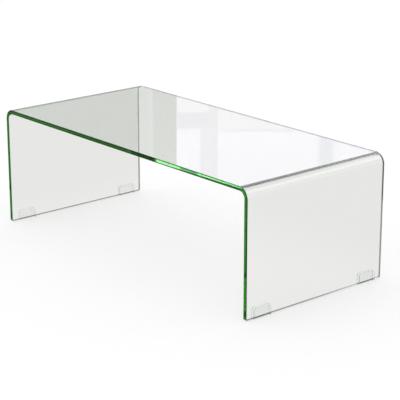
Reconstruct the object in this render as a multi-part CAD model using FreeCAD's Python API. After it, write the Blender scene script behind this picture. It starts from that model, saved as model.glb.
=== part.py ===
# Waterfall coffee table: one sheet of glass, bent hot into a top and two legs, on four clear feet.
#
# Millimetres. X runs along the table with the left leg at -X, Y runs across it with the front
# edge at -Y, and Z is up. The origin is on the floor, under the middle of the table.

import FreeCAD, Part
import math
import os

# The glass sheet.
LENGTH = 1067.0  # outer face of one leg to outer face of the other
DEPTH = 492.0  # front edge to rear edge
GLASS_HEIGHT = 349.0  # end of a leg to the top surface
GLASS_THICKNESS = 12.0
BEND_RADIUS = 30.0  # at the outer face of each bend
CORNER_RADIUS = 4.0  # the sheet's four corners, at the ends of the legs
ARRIS = 1.0  # the 45 degree flat ground along every cut edge, measured along either face

# The feet: channels pushed up over the end of each leg.
FOOT_LENGTH = 59.0  # along the leg
FOOT_HEIGHT = 31.0  # floor to the top of its two flanges
FOOT_INSET = 25.0  # front or rear edge of the glass to the near end of the foot
FOOT_CORNER_RADIUS = 9.0  # the upper corners of the flanges
FLANGE_THICKNESS = 2.0
SOLE_THICKNESS = 2.0  # plastic between the glass and the floor
FOOT_CHAMFER = 0.6  # along the outlines of the flanges and the ends of the sole
MOUTH_CHAMFER = 0.6  # inside the top of each flange, to lead the foot onto the glass
CHANNEL_RADIUS = 0.8  # the channel's two lower corners
FOOT_CLEARANCE = 0.1  # gap between each flange and the face of the glass

# Worked out from the sizes above.
GLASS_BOTTOM = SOLE_THICKNESS  # the glass stands on the soles
GLASS_TOP = GLASS_BOTTOM + GLASS_HEIGHT
LEG_CENTRE = (LENGTH - GLASS_THICKNESS) / 2
FOOT_CENTRE = DEPTH / 2 - FOOT_INSET - FOOT_LENGTH / 2
CHANNEL_WIDTH = GLASS_THICKNESS + 2 * FOOT_CLEARANCE
FOOT_WIDTH = CHANNEL_WIDTH + 2 * FLANGE_THICKNESS

TINY = 1e-3  # a length under this counts as none, where edges are told apart
LEFT, RIGHT = -1, 1
FRONT, REAR = -1, 1
LEG_NAMES = {LEFT: "left", RIGHT: "right"}
END_NAMES = {FRONT: "front", REAR: "rear"}


def leg_end(leg, inset):
    """The end of one leg in the sheet's section, at a depth under the outer face."""
    return FreeCAD.Vector(leg * (LENGTH / 2 - inset), 0, GLASS_BOTTOM)


def bend_point(leg, inset, degrees):
    """A point of one bend in the section, at a depth under the outer face and an angle up."""
    radius = BEND_RADIUS - inset
    angle = math.radians(degrees)
    return FreeCAD.Vector(
        leg * (LENGTH / 2 - BEND_RADIUS + radius * math.cos(angle)),
        0,
        GLASS_TOP - BEND_RADIUS + radius * math.sin(angle),
    )


def sheet_line(inset):
    """The section's edges at a depth under the outer face: two legs, two bends and the top."""
    edges = [Part.makeLine(bend_point(LEFT, inset, 90), bend_point(RIGHT, inset, 90))]
    for leg in (LEFT, RIGHT):
        bend = [bend_point(leg, inset, degrees) for degrees in (0, 45, 90)]
        edges.append(Part.Arc(*bend).toShape())
        edges.append(Part.makeLine(leg_end(leg, inset), bend[0]))
    return edges


def bent_glass():
    """The sheet: its section drawn out from front to rear, with rounded corners and an arris."""
    ends = [
        Part.makeLine(leg_end(leg, 0), leg_end(leg, GLASS_THICKNESS)) for leg in (LEFT, RIGHT)
    ]
    edges = sheet_line(0) + sheet_line(GLASS_THICKNESS) + ends
    section = Part.Face(Part.Wire(Part.sortEdges(edges)[0]))
    sheet = section.extrude(FreeCAD.Vector(0, DEPTH, 0))
    sheet.translate(FreeCAD.Vector(0, -DEPTH / 2, 0))
    corners = [
        edge
        for edge in sheet.Edges
        if edge.BoundBox.ZMax < GLASS_BOTTOM + TINY and edge.BoundBox.YLength < TINY
    ]
    sheet = sheet.makeFillet(CORNER_RADIUS, corners)
    return sheet.makeChamfer(ARRIS, cut_edges(sheet))


def cut_edges(sheet):
    """The edges of the outer and inner surfaces where the sheet was cut.

    Only those surfaces, and the seams at their bends, reach all the way from front to rear.
    """
    surfaces = [face for face in sheet.Faces if face.BoundBox.YLength > DEPTH - TINY]
    return [
        edge
        for surface in surfaces
        for edge in surface.Edges
        if edge.BoundBox.YLength < DEPTH - TINY
    ]


def foot_block():
    """The foot's outside, standing on the origin, with its upper corners rounded."""
    block = Part.makeBox(
        FOOT_WIDTH,
        FOOT_LENGTH,
        FOOT_HEIGHT,
        FreeCAD.Vector(-FOOT_WIDTH / 2, -FOOT_LENGTH / 2, 0),
    )
    upper_corners = [
        edge
        for edge in block.Edges
        if edge.BoundBox.ZMin > FOOT_HEIGHT - TINY and edge.BoundBox.YLength < TINY
    ]
    block = block.makeFillet(FOOT_CORNER_RADIUS, upper_corners)
    flange_outlines = [edge for edge in block.Edges if edge.BoundBox.XLength < TINY]
    sole_ends = [
        edge
        for edge in block.Edges
        if edge.BoundBox.ZMax < TINY and edge.BoundBox.YLength < TINY
    ]
    return block.makeChamfer(FOOT_CHAMFER, flange_outlines + sole_ends)


def channel():
    """The space inside the foot: a section with a wider mouth, drawn out along the leg."""
    wall = CHANNEL_WIDTH / 2
    right_side = [
        (wall, SOLE_THICKNESS),
        (wall, FOOT_HEIGHT - MOUTH_CHAMFER),
        (wall + MOUTH_CHAMFER, FOOT_HEIGHT),
    ]
    left_side = [(-x, z) for x, z in reversed(right_side)]
    outline = [FreeCAD.Vector(x, -FOOT_LENGTH / 2, z) for x, z in right_side + left_side]
    section = Part.Face(Part.makePolygon(outline, True))
    space = section.extrude(FreeCAD.Vector(0, FOOT_LENGTH, 0))
    lower_corners = [
        edge
        for edge in space.Edges
        if edge.BoundBox.ZMax < SOLE_THICKNESS + TINY and edge.BoundBox.XLength < TINY
    ]
    return space.makeFillet(CHANNEL_RADIUS, lower_corners)


def foot(leg, end):
    """One clear channel, with its sole on the floor and its flanges up both faces of a leg."""
    shape = foot_block().cut(channel())
    shape.translate(FreeCAD.Vector(leg * LEG_CENTRE, end * FOOT_CENTRE, 0))
    return shape


def export(shape, node):
    """Writes one piece to its own STEP file."""
    shape.Solids[0].exportStep(f"parts/{node}.step")


os.makedirs("parts", exist_ok=True)
export(bent_glass(), "bent_glass")
for end, end_name in END_NAMES.items():
    for leg, leg_name in LEG_NAMES.items():
        export(foot(leg, end), f"{end_name}_{leg_name}_foot")
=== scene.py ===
import math

import bmesh
import bpy
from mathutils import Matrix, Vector

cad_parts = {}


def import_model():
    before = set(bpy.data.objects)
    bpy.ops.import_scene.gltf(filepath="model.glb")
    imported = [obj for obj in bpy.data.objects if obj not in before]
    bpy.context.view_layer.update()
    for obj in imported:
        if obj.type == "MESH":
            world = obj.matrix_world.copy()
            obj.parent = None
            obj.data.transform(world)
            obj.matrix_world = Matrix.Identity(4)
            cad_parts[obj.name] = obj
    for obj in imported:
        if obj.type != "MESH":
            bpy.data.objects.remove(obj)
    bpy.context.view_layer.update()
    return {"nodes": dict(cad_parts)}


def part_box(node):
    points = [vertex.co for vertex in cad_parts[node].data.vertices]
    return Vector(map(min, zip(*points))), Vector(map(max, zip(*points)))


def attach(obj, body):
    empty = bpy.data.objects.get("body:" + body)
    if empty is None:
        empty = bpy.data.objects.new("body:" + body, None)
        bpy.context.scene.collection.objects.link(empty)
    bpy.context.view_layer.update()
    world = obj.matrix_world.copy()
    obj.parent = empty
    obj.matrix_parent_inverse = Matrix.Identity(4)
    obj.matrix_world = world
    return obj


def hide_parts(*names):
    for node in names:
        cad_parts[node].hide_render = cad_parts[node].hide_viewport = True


# Looks for the waterfall coffee table: one bent sheet of clear glass on four clear feet.
# Metres, in the frame of the CAD model: X along the table, front edge at -Y, Z up.

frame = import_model()

# The glass, as the CAD model has it.
GLASS_THICKNESS = 0.012
BEND_RADIUS = 0.030
CORNER_RADIUS = 0.004
ARRIS = 0.001
BEND_STEPS = 48
CORNER_STEPS = 8
SHARP_ANGLE = 20  # degrees, from which the edge between two faces stays sharp

# Its look. The absorption is what each metre of glass takes from red, green and blue.
GLASS_IOR = 1.475
ABSORPTION = (3.8, 1.4, 4.2)
ABSORPTION_MARGIN = 0.4  # how much denser the volume is than its strongest absorption
PANE_TINT = (0.857, 0.837, 0.843)  # what straight sight through one pane keeps
EDGE_TINT = (1.00, 1.00, 0.95)  # the cut edge, apart from the next two
ARRIS_PAINTED_SHADE = (0.12, 0.14, 0.12)  # painted shade on the arris, as it is seen through the sheet
RIM_PAINTED_SHADE = (0.02, 0.18, 0.02)  # painted shade on the cut edge near either face, as it is seen from outside
RIM_SHADE_START, RIM_SHADE_FULL = 0.0045, 0.0015  # how far from the face the painted rim shade begins and is full

# Its surface: heights in metres, scales in grains to the metre.
WAVE_SCALE, WAVE_DETAIL, WAVE_HEIGHT = 6.0, 1.0, 3e-5
SMUDGE_SCALE, SMUDGE_DETAIL, SMUDGE_ROUGHNESS = 9.0, 4.0, 0.03
SMUDGE_START, SMUDGE_FULL = 0.55, 0.75  # the noise at which a smudge begins and is full
GRINDING_SCALE = (40.0, 5000.0, 1.0)  # along the cut edge and under the outer face
GRINDING_DETAIL = 2.0
GROOVE_DEPTH = 5e-8
EDGE_ROUGHNESS = (0.01, 0.03)

# The clear plastic of the feet.
PLASTIC_IOR = 1.26
PLASTIC_SHINE = (0.2, 0.2, 0.2)  # the share of its reflections that is kept
PLASTIC_CLEAR, PLASTIC_HAZY = (1.0, 1.0, 1.0), (0.97, 0.98, 0.98)
HAZE_SCALE, HAZE_DETAIL = 60.0, 3.0
GRAIN_SCALE, GRAIN_DETAIL, GRAIN_HEIGHT = 900.0, 2.0, 2e-6
PLASTIC_ROUGHNESS = (0.03, 0.09)

NOISE_LOW, NOISE_HIGH = 0.3, 0.7  # nearly all noise lies between these two values

# The camera of the photograph: front right, looking down, through a long lens.
CAMERA_PLACE = (3.1199, -2.6039, 1.4262)
CAMERA_TILT = 17.511  # degrees below the horizon
CAMERA_HEADING = 49.553  # degrees from +Y towards -X
CAMERA_LENS = 134.43
CAMERA_SENSOR = 36.0

BOUNCES = 100  # light is mirrored many times inside the sheet before it leaves by a cut edge


def new_object(name, data):
    """An object for a finished mesh or camera, in the scene."""
    obj = bpy.data.objects.new(name, data)
    bpy.context.scene.collection.objects.link(obj)
    return obj


def new_material(name):
    """A material, its node tree and its Principled shader."""
    material = bpy.data.materials.new(name)
    material.use_nodes = True
    return material, material.node_tree, material.node_tree.nodes["Principled BSDF"]


def set_inputs(tree, node, inputs):
    """Sets inputs of a node to numbers or colours, or links sockets to them."""
    for name, value in inputs.items():
        if isinstance(value, bpy.types.NodeSocket):
            tree.links.new(value, node.inputs[name])
        else:
            node.inputs[name].default_value = value


def add_node(tree, kind, settings=None, inputs=None):
    """Adds a node. settings are its own properties; inputs are numbers, colours or sockets."""
    node = tree.nodes.new(kind)
    for name, value in (settings or {}).items():
        setattr(node, name, value)
    set_inputs(tree, node, inputs or {})
    return node


def maths(tree, operation, first, second=0.0):
    """The result of one sum on two numbers or sockets."""
    return add_node(tree, "ShaderNodeMath", {"operation": operation}, {0: first, 1: second}).outputs[0]


def vector_maths(tree, operation, first, second):
    """The results of one sum on two vectors or sockets."""
    settings = {"operation": operation}
    return add_node(tree, "ShaderNodeVectorMath", settings, {0: first, 1: second}).outputs


def product(tree, *factors):
    """The product of numbers or sockets."""
    result, *others = factors
    for factor in others:
        result = maths(tree, "MULTIPLY", result, factor)
    return result


def without(tree, share):
    """What is left of 1 without a share of it."""
    return maths(tree, "SUBTRACT", 1.0, share)


# A Mix node takes numbers at its inputs 2 and 3, and colours at its inputs 6 and 7.
def blend(tree, share, first, second):
    """A number that goes from first to second as share goes from 0 to 1."""
    inputs = {0: share, 2: first, 3: second}
    return add_node(tree, "ShaderNodeMix", {"data_type": "FLOAT"}, inputs).outputs[0]


def rgba(colour):
    """A colour as a node takes it: a socket, or three numbers with full alpha."""
    return colour if isinstance(colour, bpy.types.NodeSocket) else (*colour, 1)


def blend_colours(tree, share, first, second):
    """A colour that goes from first to second as share goes from 0 to 1."""
    inputs = {0: share, 6: rgba(first), 7: rgba(second)}
    return add_node(tree, "ShaderNodeMix", {"data_type": "RGBA"}, inputs).outputs[2]


def span(tree, value, low, high, to_low=0.0, to_high=1.0):
    """A number that goes smoothly from to_low to to_high as the value goes from low to high."""
    inputs = {"Value": value, "From Min": low, "From Max": high, "To Min": to_low, "To Max": to_high}
    settings = {"interpolation_type": "SMOOTHSTEP"}
    return add_node(tree, "ShaderNodeMapRange", settings, inputs).outputs["Result"]


def band(tree, coordinate, low, high, softness):
    """1 between two values of a coordinate and 0 outside, with soft borders."""
    middle, half = (low + high) / 2, (high - low) / 2
    from_middle = maths(tree, "ABSOLUTE", maths(tree, "SUBTRACT", coordinate, middle))
    return span(tree, from_middle, half - softness, half + softness, 1.0, 0.0)


def split(tree, vector):
    """The X, Y and Z of a vector."""
    return add_node(tree, "ShaderNodeSeparateXYZ", None, {"Vector": vector}).outputs


def object_place(tree):
    """The place on the object, in metres."""
    return add_node(tree, "ShaderNodeTexCoord").outputs["Object"]


def light_path(tree):
    """The way that sight or light has come."""
    return add_node(tree, "ShaderNodeLightPath").outputs


def noise(tree, place, scale, detail):
    """Smooth noise with so many grains to the unit of the place."""
    inputs = {"Vector": place, "Scale": scale, "Detail": detail}
    return add_node(tree, "ShaderNodeTexNoise", None, inputs).outputs["Fac"]


def bump(tree, height):
    """The surface's normal, for a height in metres."""
    return add_node(tree, "ShaderNodeBump", None, {"Height": height, "Distance": 1.0}).outputs[0]


# The sheet is laid out flat first, as a glazier cuts it, and then bent. Its flat length runs
# from the left leg's end, over the top, to the right leg's end.
glass_low, glass_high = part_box("bent_glass")
LEG = glass_high.z - glass_low.z - BEND_RADIUS
TOP = glass_high.x - glass_low.x - 2 * BEND_RADIUS
MIDDLE_RADIUS = BEND_RADIUS - GLASS_THICKNESS / 2
BEND = MIDDLE_RADIUS * math.pi / 2
FLAT_LENGTH = 2 * LEG + 2 * BEND + TOP
HALF_DEPTH = (glass_high.y - glass_low.y) / 2


def bent(along, across, depth):
    """The place of a point of the flat sheet once it is bent; depth is under the outer face."""
    side = -1 if along < FLAT_LENGTH / 2 else 1
    from_end = along if side < 0 else FLAT_LENGTH - along
    radius = BEND_RADIUS - depth
    centre_x = glass_high.x - BEND_RADIUS
    centre_z = glass_high.z - BEND_RADIUS
    if from_end <= LEG:
        x, z = centre_x + radius, glass_low.z + from_end
    elif from_end <= LEG + BEND:
        angle = (from_end - LEG) / MIDDLE_RADIUS
        x, z = centre_x + radius * math.cos(angle), centre_z + radius * math.sin(angle)
    else:
        x, z = centre_x - (from_end - LEG - BEND), centre_z + radius
    return Vector((side * x, across, z))


def sheet_outline(inset):
    """The flat sheet's outline, an inset inside its edge: rounded corners and steps at the bends."""
    corner = CORNER_RADIUS - inset
    angles = [step / CORNER_STEPS * math.pi / 2 for step in range(CORNER_STEPS + 1)]
    front_left = [
        (
            CORNER_RADIUS - corner * math.cos(angle),
            -HALF_DEPTH + CORNER_RADIUS - corner * math.sin(angle),
        )
        for angle in angles
    ]
    steps = [LEG + BEND * step / BEND_STEPS for step in range(BEND_STEPS + 1)]
    stations = steps + [FLAT_LENGTH - station for station in reversed(steps)]
    front = [(station, -HALF_DEPTH + inset) for station in stations]
    half = front_left + front + [(FLAT_LENGTH - a, b) for a, b in reversed(front_left)]
    return half + [(a, -b) for a, b in reversed(half)]


def distances_along(outline):
    """How far along a closed outline each of its points is, and at the end its whole length."""
    distances = [0.0]
    for here, there in zip(outline, outline[1:] + outline[:1]):
        distances.append(distances[-1] + math.dist(here, there))
    return distances


def add_face(bm, corners, places):
    """One face, with the place of each corner on the flat sheet kept in the UV layer."""
    flat = bm.loops.layers.uv["flat_sheet"]
    face = bm.faces.new(corners)
    for loop, place in zip(face.loops, places):
        loop[flat].uv = place
    return face


def add_cut_edge(bm, rings, depths, distances):
    """The faces between each ring of points and the one under it: arris, edge and arris."""
    cut = bm.faces.layers.float["cut_edge"]
    for upper, lower, high, low in zip(rings, rings[1:], depths, depths[1:]):
        for i, (start, end) in enumerate(zip(distances, distances[1:])):
            after = (i + 1) % len(upper)
            corners = (upper[i], upper[after], lower[after], lower[i])
            places = ((start, high), (end, high), (end, low), (start, low))
            add_face(bm, corners, places)[cut] = 1.0


def add_broad_face(bm, ring, outline):
    """A broad face, as strips from the front half of the outline to its mirror image."""
    last = len(ring) - 1
    for i in range(len(ring) // 2 - 1):
        strip = (i, i + 1, last - 1 - i, last - i)
        add_face(bm, [ring[k] for k in strip], [outline[k] for k in strip])


def glass_sheet():
    """The bent sheet as one closed mesh, with its arris all round.

    Its UV layer is in metres: along and across on the broad faces, and round the outline and
    under the outer face on the cut edge.
    """
    section = ((ARRIS, 0), (0, ARRIS), (0, GLASS_THICKNESS - ARRIS), (ARRIS, GLASS_THICKNESS))
    depths = [depth for inset, depth in section]
    outlines = [sheet_outline(inset) for inset, depth in section]
    bm = bmesh.new()
    bm.faces.layers.float.new("cut_edge")
    bm.loops.layers.uv.new("flat_sheet")
    rings = [
        [bm.verts.new(bent(along, across, depth)) for along, across in outline]
        for outline, depth in zip(outlines, depths)
    ]
    add_cut_edge(bm, rings, depths, distances_along(outlines[1]))
    # The outer face is inside the first ring, and the inner face inside the last.
    for end in (0, -1):
        add_broad_face(bm, rings[end], outlines[end])
    bmesh.ops.recalc_face_normals(bm, faces=bm.faces)
    mesh = bpy.data.meshes.new("glass_sheet")
    bm.to_mesh(mesh)
    bm.free()
    mesh.shade_smooth()
    mesh.set_sharp_from_angle(angle=math.radians(SHARP_ANGLE))
    sheet = new_object("glass_sheet", mesh)
    sheet.modifiers.new("weighted_normals", "WEIGHTED_NORMAL").keep_sharp = True
    return sheet


def glass_tint_and_painted_shade(tree, cut, sheet):
    """What the glass lets through, on its broad faces, its cut edge and its arrises.

    Looked into from outside, the cut edge is darker near either face: painted shade. Seen
    through the sheet, only its arris is, and that is painted shade too.
    """
    half = GLASS_THICKNESS / 2
    from_middle = maths(tree, "ABSOLUTE", maths(tree, "SUBTRACT", split(tree, sheet)["Y"], half))
    arris = maths(tree, "GREATER_THAN", from_middle, half - ARRIS)
    rim_shade = span(tree, from_middle, half - RIM_SHADE_START, half - RIM_SHADE_FULL)
    inside = add_node(tree, "ShaderNodeNewGeometry").outputs["Backfacing"]
    # Painted shade: the arris is darkened.
    tint_and_shade = blend_colours(tree, arris, EDGE_TINT, ARRIS_PAINTED_SHADE)
    # Painted shade: looked into from outside, the cut edge is darkened near either face.
    tint_and_shade = blend_colours(tree, product(tree, rim_shade, without(tree, inside)), tint_and_shade, RIM_PAINTED_SHADE)
    return blend_colours(tree, cut, PANE_TINT, tint_and_shade)


def glass_surface(tree, cut, sheet):
    """The roughness and the normal of the glass.

    Its broad faces are faintly wavy, as they were bent hot, and hold a few smudges. Its cut edge
    has what the polishing left of the lines of the grinding wheel.
    """
    place = object_place(tree)
    smears = noise(tree, place, SMUDGE_SCALE, SMUDGE_DETAIL)
    smudges = span(tree, smears, SMUDGE_START, SMUDGE_FULL, 0.0, SMUDGE_ROUGHNESS)
    waves = product(tree, noise(tree, place, WAVE_SCALE, WAVE_DETAIL), WAVE_HEIGHT)
    along = add_node(tree, "ShaderNodeMapping", None, {"Vector": sheet, "Scale": GRINDING_SCALE})
    lines = noise(tree, along.outputs["Vector"], 1.0, GRINDING_DETAIL)
    polish = span(tree, lines, NOISE_LOW, NOISE_HIGH, *EDGE_ROUGHNESS)
    grooves = product(tree, lines, GROOVE_DEPTH)
    return blend(tree, cut, smudges, polish), bump(tree, blend(tree, cut, waves, grooves))


def glass_volume(tree):
    """The green inside the glass."""
    density = max(ABSORPTION) + ABSORPTION_MARGIN
    colour = [1 - taken / density for taken in ABSORPTION]
    inputs = {"Color": rgba(colour), "Density": density}
    return add_node(tree, "ShaderNodeVolumeAbsorption", None, inputs).outputs["Volume"]


def glass_material():
    """Clear float glass: almost colourless across the sheet, deep green along it."""
    material, tree, shader = new_material("clear_glass")
    cut = add_node(tree, "ShaderNodeAttribute", {"attribute_name": "cut_edge"}).outputs["Fac"]
    sheet = add_node(tree, "ShaderNodeUVMap", {"uv_map": "flat_sheet"}).outputs["UV"]
    roughness, normal = glass_surface(tree, cut, sheet)
    set_inputs(tree, shader, {
        "Base Color": glass_tint_and_painted_shade(tree, cut, sheet),
        "Roughness": roughness,
        "Normal": normal,
        "IOR": GLASS_IOR,
        "Transmission Weight": 1.0,
        # The cut edge shows the green inside it with its reflection of the room taken out: painted
        # shade.
        "Specular Tint": without(tree, cut),
    })
    set_inputs(tree, tree.nodes["Material Output"], {"Volume": glass_volume(tree)})
    return material


def plastic_material():
    """Clear soft plastic, with a little haze in it and the fine grain of the mould on it."""
    material, tree, shader = new_material("clear_plastic")
    place = object_place(tree)
    haze = span(tree, noise(tree, place, HAZE_SCALE, HAZE_DETAIL), NOISE_LOW, NOISE_HIGH)
    grain = noise(tree, place, GRAIN_SCALE, GRAIN_DETAIL)
    set_inputs(tree, shader, {
        "Base Color": blend_colours(tree, haze, PLASTIC_CLEAR, PLASTIC_HAZY),
        "Roughness": span(tree, grain, NOISE_LOW, NOISE_HIGH, *PLASTIC_ROUGHNESS),
        "Normal": bump(tree, product(tree, grain, GRAIN_HEIGHT)),
        "IOR": PLASTIC_IOR,
        "Transmission Weight": 1.0,
        "Specular Tint": rgba(PLASTIC_SHINE),
    })
    return material


glass = glass_sheet()
glass.data.materials.append(glass_material())
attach(glass, "root")
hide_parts("bent_glass")

plastic = plastic_material()
for name, node in frame["nodes"].items():
    if name.endswith("_foot"):
        node.data.materials.clear()
        node.data.materials.append(plastic)


# The studio: a white floor and background, and round them the walls of a room that only the
# glass mirrors.
WHITE = (1.0, 1.0, 1.0)
INSIDE_WHITE = 0.30  # white, once it has been mirrored inside the sheet
DEEP = 12  # after so many mirrorings inside the sheet, one light comes from everywhere
DEEP_COLOUR = (0.85, 1.65, 0.75)

FLOOR_SIZE = 80.0
FLOOR_WHITE = 0.95
OPEN_LIGHT = 0.972  # what falls on the floor far from the table
SHADOW_SHARE = 0.36  # how much of that light, with its shadows, the camera sees on the floor
UNDER_LIGHT = 1.056  # the floor's light under the table, seen through the glass
UNDER_START, UNDER_FULL = 0.3, -0.2  # how far outside the table it begins and is full
CONTACT_DISTANCE = 0.004
CONTACT_SAMPLES = 16
CONTACT_DARK = 0.90  # the floor's light where something touches it
FRONT_FLOOR_PAINTED_SHADE = 0.3  # painted shade on the floor in front of the table, where its cut edges mirror it
FRONT_SOFTNESS = 0.05

SKY_LOW, SKY_HIGH = 0.55, 1.225  # at the horizon and overhead
SKY_SIDE = (-0.25, 0.08, 0.0)  # how much more of it comes from each side
SOFTBOX = 3.0  # the softboxes behind the table, half way up, as the glass mirrors them
SOFTBOX_LOW, SOFTBOX_HIGH = 0.40, 0.70  # the sines of their elevations
SOFTBOX_SOFTNESS = 0.05
SOFTBOX_END = 0.2  # the softness of their left and right ends

WALL_DISTANCE = 9.5
WALL_BOTTOM, WALL_TOP = 0.45, 5.7
SIDE_TURNS = (90, 180, 270)  # degrees from the far wall, which the camera faces, to the others
INSIDE_FAR_WALL, INSIDE_SIDE_WALLS = 0.78, 0.3  # their light after two mirrorings in the sheet
INSIDE_GAMMA = (5.7, 4.5, 5.7)  # their contrast after two mirrorings in the sheet
MIRRORED_LOW, MIRRORED_HIGH = 2.3, 3.8  # the part of a wall that the top mirrors to the camera
MIRRORED_SOFTNESS = 0.1
FAR = 20.0  # past every end of a wall
WALL_LIGHT = (0.65, 0.67, 0.65)

# What stands on each wall, one over the other: from and to along it, from and to in height, the
# softness of its borders and its light.
ROOM = (
    (-FAR, -0.401, -FAR, FAR, 0.012, (0.75, 0.77, 0.755)),  # a dark part
    (-0.443, -0.401, -FAR, FAR, 0.012, (0.81, 0.82, 0.81)),  # its right border
    (-0.175, FAR, -FAR, FAR, 0.008, (1.27, 1.21, 1.29)),  # tall windows
    (-0.175, FAR, 2.865, FAR, 0.012, (1.335, 1.30, 1.41)),  # their brighter top
    (-0.175, 0.153, 2.693, 2.848, 0.012, (1.06, 1.03, 1.14)),  # the first of their bars
    (0.120, 0.206, -FAR, FAR, 0.015, (1.09, 1.06, 1.14)),
    (0.045, 0.206, 2.848, FAR, 0.015, (1.12, 1.09, 1.21)),
    (0.262, 0.921, 2.856, 2.885, 0.012, (1.15, 1.11, 1.19)),
    (1.163, 1.296, 2.587, FAR, 0.029, (1.07, 1.05, 1.16)),
)


def at_least(tree, count, times):
    """1 where a whole number is so many or more."""
    return maths(tree, "GREATER_THAN", count, times - 0.5)


def seen(tree):
    """1 where the camera sees a thing, directly, mirrored or through glass; 0 where it gives light."""
    path = light_path(tree)
    sight = maths(tree, "MAXIMUM", path["Is Camera Ray"], path["Is Glossy Ray"])
    sight = maths(tree, "MAXIMUM", sight, path["Is Transmission Ray"])
    return product(tree, sight, without(tree, at_least(tree, path["Diffuse Depth"], 1)))


def mirrored(tree, times):
    """1 where sight has been mirrored at least so many times."""
    return at_least(tree, light_path(tree)["Glossy Depth"], times)


def seen_from_inside(tree, times):
    """1 where sight has been mirrored at least so many times between the faces of the sheet."""
    return product(tree, mirrored(tree, times), light_path(tree)["Is Transmission Ray"])


def white(tree):
    """The light of the background and the floor where they are seen."""
    return blend(tree, seen_from_inside(tree, 1), 1.0, INSIDE_WHITE)


def deep_green(tree):
    """White, or green where sight has been mirrored many times inside the sheet."""
    return blend_colours(tree, seen_from_inside(tree, DEEP), WHITE, DEEP_COLOUR)


def contact(tree):
    """What is left of the floor's light within a few millimetres of what stands on it."""
    settings = {"samples": CONTACT_SAMPLES}
    inputs = {"Distance": CONTACT_DISTANCE}
    open_share = add_node(tree, "ShaderNodeAmbientOcclusion", settings, inputs).outputs["AO"]
    return blend(tree, open_share, CONTACT_DARK, 1.0)


def under_table(tree):
    """The extra light on the floor under and near the table, where it is seen through glass."""
    place = split(tree, object_place(tree))
    beyond = [
        maths(tree, "SUBTRACT", maths(tree, "ABSOLUTE", place[axis]), half)
        for axis, half in (("X", glass_high.x), ("Y", HALF_DEPTH))
    ]
    furthest = maths(tree, "MAXIMUM", *beyond)
    return span(tree, furthest, UNDER_START, UNDER_FULL, 1.0, UNDER_LIGHT)


def front_floor_painted_shade(tree):
    """Painted shade on the floor in front of the table, seen only where the glass mirrors it."""
    across = split(tree, object_place(tree))["Y"]
    ahead = span(tree, across, -HALF_DEPTH, -HALF_DEPTH - FRONT_SOFTNESS)
    return blend(tree, product(tree, ahead, mirrored(tree, 1)), 1.0, FRONT_FLOOR_PAINTED_SHADE)


def floor_material():
    """A pale floor that goes to white in the picture and keeps the table's shadow."""
    material, tree, shader = new_material("floor")
    sight = seen(tree)
    through = light_path(tree)["Is Transmission Ray"]
    near = blend(tree, through, 1.0, under_table(tree))
    light = product(tree, white(tree), contact(tree), near, front_floor_painted_shade(tree))
    share = blend(tree, through, SHADOW_SHARE, 0.0)
    unshaded = without(tree, product(tree, share, OPEN_LIGHT))
    set_inputs(tree, shader, {
        "Base Color": blend(tree, sight, FLOOR_WHITE, product(tree, share, light)),
        "Emission Color": deep_green(tree),
        "Emission Strength": product(tree, unshaded, sight, light),
        "Roughness": 1.0,
        "Specular IOR Level": 0.0,
    })
    material.cycles.emission_sampling = "NONE"
    return material


def floor():
    """The floor, so wide that its end is never in the picture."""
    bpy.ops.mesh.primitive_plane_add(size=FLOOR_SIZE)
    plane = bpy.context.object
    plane.name = "floor"
    plane.data.materials.append(floor_material())


def world():
    """Soft light from all round, most of it from above, against a white background."""
    studio = bpy.data.worlds.new("studio")
    studio.use_nodes = True
    bpy.context.scene.world = studio
    tree = studio.node_tree
    direction = add_node(tree, "ShaderNodeTexCoord").outputs["Generated"]
    along = split(tree, direction)
    inputs = {"Value": along["Z"], "To Min": SKY_LOW, "To Max": SKY_HIGH}
    sky = add_node(tree, "ShaderNodeMapRange", None, inputs).outputs["Result"]
    sky = maths(tree, "ADD", sky, vector_maths(tree, "DOT_PRODUCT", direction, SKY_SIDE)["Value"])
    ring = band(tree, along["Z"], SOFTBOX_LOW, SOFTBOX_HIGH, SOFTBOX_SOFTNESS)
    softbox = product(tree, ring, span(tree, along["Y"], -SOFTBOX_END, SOFTBOX_END))
    light = product(tree, blend(tree, softbox, 1.0, SOFTBOX), white(tree))
    set_inputs(tree, tree.nodes["Background"], {
        "Color": deep_green(tree),
        "Strength": blend(tree, seen(tree), sky, light),
    })


def room_light(tree, place):
    """The light of a wall before the glass changes it: dark on its left, windows on its right."""
    light = WALL_LIGHT
    for left, right, bottom, top, softness, colour in ROOM:
        upright = band(tree, place["X"], left, right, softness)
        level = band(tree, place["Z"], bottom, top, softness)
        light = blend_colours(tree, product(tree, upright, level), light, colour)
    return light


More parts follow.
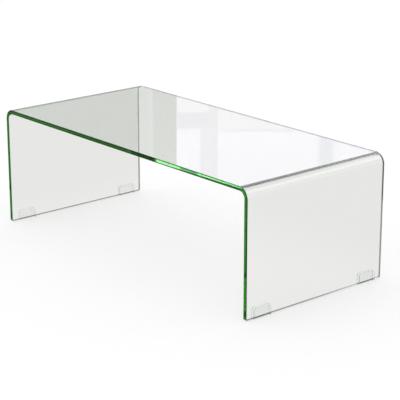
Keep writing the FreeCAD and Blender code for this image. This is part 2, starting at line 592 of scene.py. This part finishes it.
def wall_glow(tree, inside_strength):
    """The light of a wall as the glass mirrors it, from outside or inside the sheet."""
    place = split(tree, object_place(tree))
    light = room_light(tree, place)
    once, twice, deep = (seen_from_inside(tree, times) for times in (1, 2, DEEP))
    harder = vector_maths(tree, "POWER", light, INSIDE_GAMMA)["Vector"]
    colour = blend_colours(tree, twice, light, harder)
    # Sight that was mirrored once keeps only the part of the wall that the table's top mirrors.
    kept = band(tree, place["Z"], MIRRORED_LOW, MIRRORED_HIGH, MIRRORED_SOFTNESS)
    beside = product(tree, once, without(tree, twice), without(tree, kept))
    strength = blend(tree, twice, 1.0, inside_strength)
    strength = blend(tree, beside, strength, INSIDE_WHITE)
    inputs = {
        "Color": blend_colours(tree, deep, colour, DEEP_COLOUR),
        "Strength": blend(tree, deep, strength, INSIDE_WHITE),
    }
    return add_node(tree, "ShaderNodeEmission", None, inputs).outputs[0]


def wall_material(name, inside_strength):
    """A wall that glows where it is seen, and lets the studio's light pass."""
    material, tree, shader = new_material(name)
    tree.nodes.remove(shader)
    clear = add_node(tree, "ShaderNodeBsdfTransparent").outputs[0]
    inputs = {0: seen(tree), 1: clear, 2: wall_glow(tree, inside_strength)}
    surface = add_node(tree, "ShaderNodeMixShader", None, inputs).outputs[0]
    set_inputs(tree, tree.nodes["Material Output"], {"Surface": surface})
    material.cycles.emission_sampling = "NONE"
    return material


def wall(turn, material):
    """One wall of the mirrored room, turned about the table from the one the camera faces."""
    corners = (
        (-WALL_DISTANCE, 0, WALL_BOTTOM),
        (WALL_DISTANCE, 0, WALL_BOTTOM),
        (WALL_DISTANCE, 0, WALL_TOP),
        (-WALL_DISTANCE, 0, WALL_TOP),
    )
    mesh = bpy.data.meshes.new("wall")
    mesh.from_pydata(corners, [], [(0, 1, 2, 3)])
    mesh.materials.append(material)
    obj = new_object("wall", mesh)
    angle = math.radians(CAMERA_HEADING + turn)
    obj.location = Vector((-math.sin(angle), math.cos(angle), 0)) * WALL_DISTANCE
    obj.rotation_euler = (0, 0, angle)
    obj.visible_camera = False
    obj.visible_diffuse = False
    obj.visible_shadow = False


def camera():
    """The photograph's viewpoint."""
    data = bpy.data.cameras.new("camera")
    data.sensor_width = CAMERA_SENSOR
    data.lens = CAMERA_LENS
    viewpoint = new_object("camera", data)
    viewpoint.location = CAMERA_PLACE
    viewpoint.rotation_euler = (math.radians(90 - CAMERA_TILT), 0, math.radians(CAMERA_HEADING))
    bpy.context.scene.camera = viewpoint


floor()
world()
wall(0, wall_material("far_wall", INSIDE_FAR_WALL))
side_wall = wall_material("side_wall", INSIDE_SIDE_WALLS)
for turn in SIDE_TURNS:
    wall(turn, side_wall)
camera()
scene = bpy.context.scene
scene.view_settings.view_transform = "Standard"
scene.cycles.max_bounces = BOUNCES
scene.cycles.glossy_bounces = BOUNCES
scene.cycles.transmission_bounces = BOUNCES
